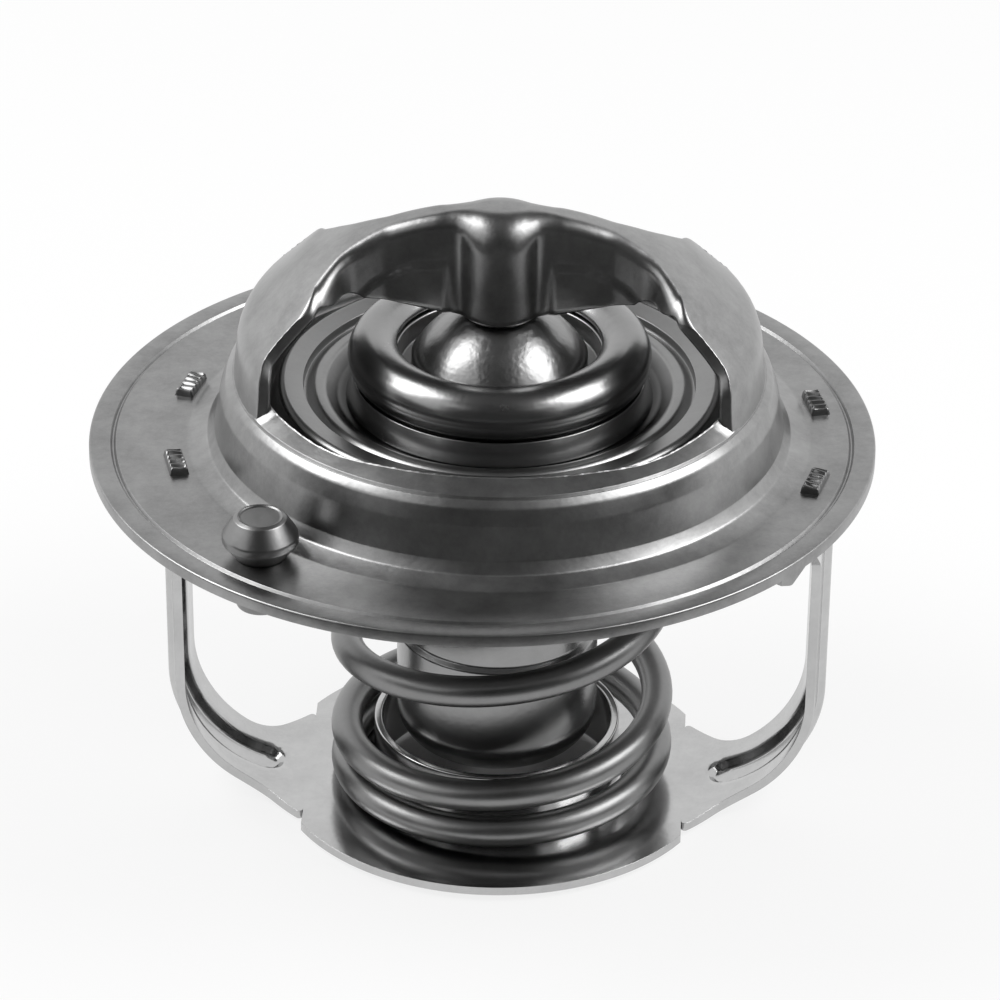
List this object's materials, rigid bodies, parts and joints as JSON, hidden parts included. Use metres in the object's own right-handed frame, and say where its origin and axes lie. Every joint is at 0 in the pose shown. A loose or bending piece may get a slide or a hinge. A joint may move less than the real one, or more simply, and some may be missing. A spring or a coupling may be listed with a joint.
{
  "type": "engine thermostat",
  "caption": "Round flanged coolant valve with a wax element, a bridge over the valve plate, a coil spring and a stirrup below.",
  "frame": {"origin": "centre of the flange rim, on the flange's underside", "axes": "+Z out of the flange towards the bridge, along the rim's axis; +X from the rim centre towards the valve's own axis, which stands 1.1 mm off; +Y towards the back of the picture"},
  "size_m": [0.052, 0.052, 0.044],
  "materials": {
    "flange_steel": "satin pressed sheet",
    "stirrup_steel": "bright rolled strip",
    "plate_steel": "satin pressed sheet",
    "cup_metal": "plated and polished",
    "guide_metal": "turned and plated",
    "piston_steel": "ground",
    "spring_steel": "drawn wire",
    "vent_steel": "headed and tumbled",
    "rubber": "moulded",
    "washer_plastic": "low-friction plastic",
    "wax": "wax with copper powder"
  },
  "bodies": {
    "frame": {"upper_body": "flange_steel", "lower_frame": "stirrup_steel", "piston": "piston_steel", "main_spring": "spring_steel"},
    "valve": {"valve_plate": "plate_steel", "valve_collar": "plate_steel", "wax_cup": "cup_metal", "element_guide": "guide_metal", "guide_seal": "rubber", "rubber_boot": "rubber", "anti_extrusion_washer": "washer_plastic", "wax_charge": "wax"},
    "vent": {"jiggle_pin": "vent_steel", "jiggle_weight": "vent_steel"}
  },
  "joints": [
    {"name": "valve_lift", "type": "slide", "parent": "frame", "child": "valve", "axis": [0, 0, -1], "range_m": [0, 0.008], "stiffness_N_per_m": 5300, "springref_m": -0.006, "deforming": ["main_spring"]},
    {"name": "vent_lift", "type": "slide", "parent": "frame", "child": "vent", "axis": [0, 0, 1], "range_m": [0, 0.00115]}
  ]
}
